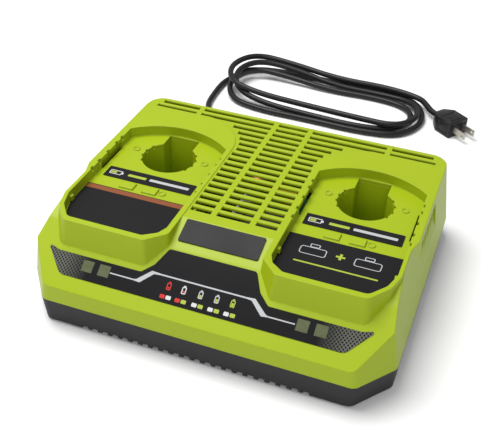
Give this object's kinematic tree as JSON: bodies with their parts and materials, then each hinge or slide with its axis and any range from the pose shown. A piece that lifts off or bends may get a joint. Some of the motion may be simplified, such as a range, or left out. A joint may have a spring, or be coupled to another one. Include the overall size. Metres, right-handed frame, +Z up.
{
  "type": "power tool battery charger",
  "caption": "Low wide bench charger with two side by side battery ports, slotted cooling grille between them, sloped indicator panel and a mains cord lying in a loose hank behind",
  "frame": {"origin": "bottom centre of the charger on the plane of its feet, without the mains cord", "axes": "+X to the right seen from the front, +Y to the back where the cord leaves, +Z up"},
  "size_m": [0.286, 0.4634, 0.075],
  "materials": {
    "housing_green": "moulded, satin with a fine texture",
    "housing_dark": "moulded, fine texture",
    "panel_film": "printed film, semi gloss",
    "window": "smoked clear window",
    "clear_plastic": "clear moulded",
    "board_green": "solder mask",
    "black_plastic": "moulded",
    "white_plastic": "moulded",
    "contact_metal": "plated spring strip",
    "sticker": "printed label",
    "wire_red": "insulation",
    "rubber": "moulded feet",
    "screw_steel": "zinc plated",
    "ferrite": "pressed ferrite",
    "coil_tape": "wound with tape",
    "copper_wire": "enamelled wire",
    "film_cap": "boxed film capacitor",
    "can_sleeve": "sleeved can",
    "heatsink": "extruded",
    "cord_black": "soft vinyl jacket",
    "blade_metal": "nickel plated brass"
  },
  "bodies": {
    "charger": {"top_shell": "housing_green", "base_shell": "housing_dark", "fascia_overlay": "panel_film", "indicator_windows": "window", "light_pipes": "clear_plastic", "indicator_boards": "board_green", "indicator_leds": "clear_plastic", "name_plate": "panel_film", "stem_well_left": "housing_green", "terminal_block_left": "black_plastic", "signal_leaves_left": "contact_metal", "strip_sticker_left": "sticker", "port_sticker_left": "sticker", "port_leads_left": "wire_red", "stem_well_right": "housing_green", "terminal_block_right": "black_plastic", "signal_leaves_right": "contact_metal", "strip_sticker_right": "sticker", "port_sticker_right": "sticker", "port_leads_right": "wire_red", "rubber_feet": "rubber", "housing_screws": "screw_steel", "board_screws": "screw_steel", "main_board": "board_green", "transformer_core": "ferrite", "transformer_coil": "coil_tape", "filter_choke": "copper_wire", "filter_capacitor": "film_cap", "bulk_capacitors": "can_sleeve", "output_capacitors": "can_sleeve", "bridge_rectifier": "black_plastic", "primary_heatsink": "heatsink", "secondary_heatsink": "heatsink", "power_devices": "black_plastic", "mains_fuse": "window", "mains_connector": "white_plastic", "output_connectors": "white_plastic", "indicator_leads": "wire_red", "cord_clamp": "black_plastic", "clamp_screws": "screw_steel", "strain_relief": "cord_black", "mains_lead_inside": "cord_black", "mains_cord": "cord_black", "cord_hank": "cord_black", "plug_body": "cord_black", "plug_blades": "blade_metal"},
    "power_leaf_left_inner": {"power_leaf_left_inner": "contact_metal"},
    "power_leaf_left_outer": {"power_leaf_left_outer": "contact_metal"},
    "power_leaf_right_inner": {"power_leaf_right_inner": "contact_metal"},
    "power_leaf_right_outer": {"power_leaf_right_outer": "contact_metal"}
  },
  "joints": [
    {"name": "contact_left_inner", "type": "hinge", "parent": "charger", "child": "power_leaf_left_inner", "pos_m": [-0.0555, 0.0302, 0.0166], "axis": [0, 1, 0], "range_deg": [0, 5], "stiffness_Nm_per_rad": 0.05},
    {"name": "contact_left_outer", "type": "hinge", "parent": "charger", "child": "power_leaf_left_outer", "pos_m": [-0.1135, 0.0302, 0.0166], "axis": [0, -1, 0], "range_deg": [0, 5], "stiffness_Nm_per_rad": 0.05},
    {"name": "contact_right_inner", "type": "hinge", "parent": "charger", "child": "power_leaf_right_inner", "pos_m": [0.0555, 0.0302, 0.0166], "axis": [0, -1, 0], "range_deg": [0, 5], "stiffness_Nm_per_rad": 0.05},
    {"name": "contact_right_outer", "type": "hinge", "parent": "charger", "child": "power_leaf_right_outer", "pos_m": [0.1135, 0.0302, 0.0166], "axis": [0, 1, 0], "range_deg": [0, 5], "stiffness_Nm_per_rad": 0.05}
  ],
  "couplings": [
    {"joint": "contact_left_outer", "follows": "contact_left_inner", "ratio": 1},
    {"joint": "contact_right_outer", "follows": "contact_right_inner", "ratio": 1}
  ]
}
